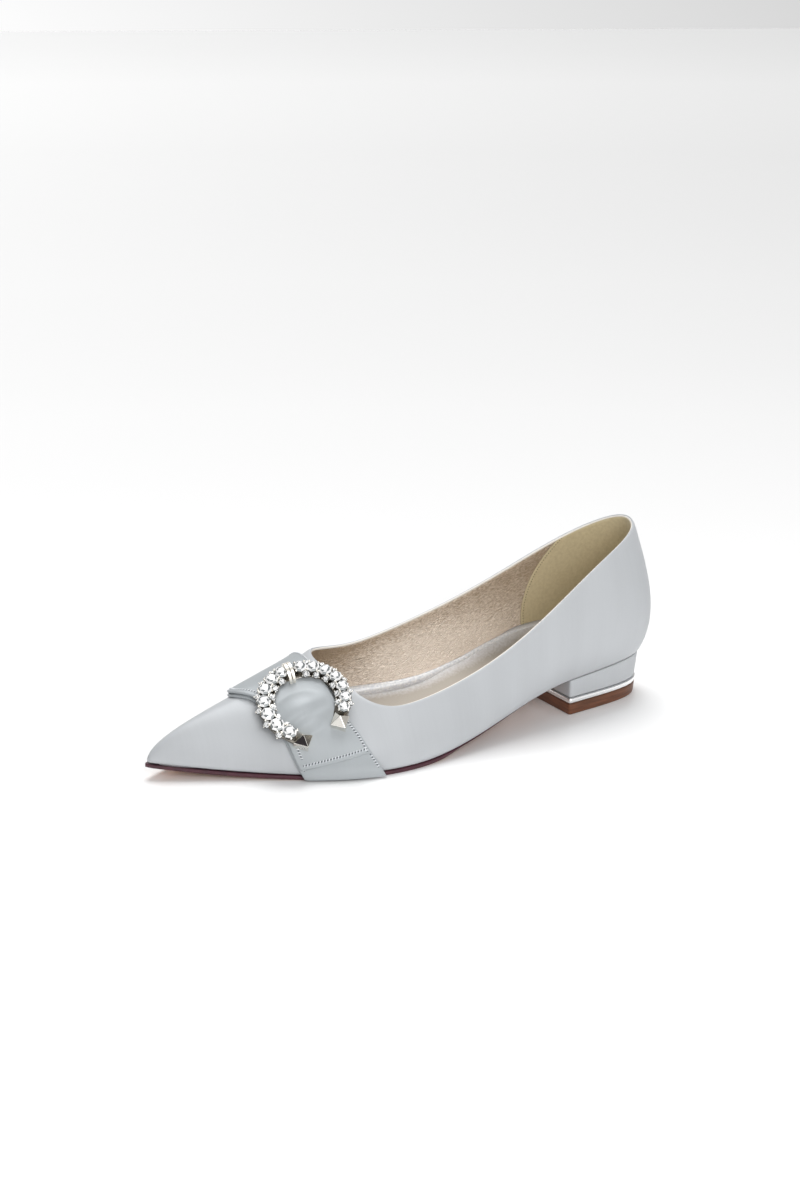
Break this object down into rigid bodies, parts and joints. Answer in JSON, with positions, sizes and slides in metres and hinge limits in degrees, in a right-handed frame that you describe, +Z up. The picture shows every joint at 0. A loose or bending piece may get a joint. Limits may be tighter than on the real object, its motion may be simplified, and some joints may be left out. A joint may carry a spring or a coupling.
{
  "type": "kitten heel shoe",
  "caption": "Pointed satin court shoe for the left foot with a low block heel, a layered strap over the vamp and an open ring of crystals with pyramid ends.",
  "frame": {"origin": "on the floor, under the middle of the flat face of the heel that stands on it", "axes": "toe towards -X, heel towards +X, outer side of the foot towards -Y, +Z up"},
  "size_m": [0.2494, 0.0797, 0.0827],
  "materials": {
    "upper_satin": "silver-blue grey satin with a fine vertical weave",
    "sole_leather": "smooth tan tread with a dark burgundy painted edge",
    "sock_leather": "speckled metallic silver with a champagne lining beside it",
    "lift_stack": "brown, with the streaks of a stacked heel",
    "chrome_band": "polished plated band",
    "ring_metal": "polished plated casting, slightly warm silver",
    "crystal": "clear cut rhinestones with a foiled back"
  },
  "bodies": {
    "root": {"upper": "upper_satin", "outsole": "sole_leather", "insole": "sock_leather", "heel_block": "upper_satin", "heel_band": "chrome_band", "top_lift": "lift_stack", "strap_base": "upper_satin", "strap_cover": "upper_satin", "ring_bar": "ring_metal", "ring_cuff": "ring_metal", "ring_spike_inner": "ring_metal", "ring_spike_outer": "ring_metal", "stone_01": "crystal", "stone_02": "crystal", "stone_03": "crystal", "stone_04": "crystal", "stone_05": "crystal", "stone_06": "crystal", "stone_07": "crystal", "stone_08": "crystal", "stone_09": "crystal", "stone_10": "crystal", "stone_11": "crystal", "stone_12": "crystal", "stone_13": "crystal", "stone_14": "crystal"}
  },
  "joints": []
}
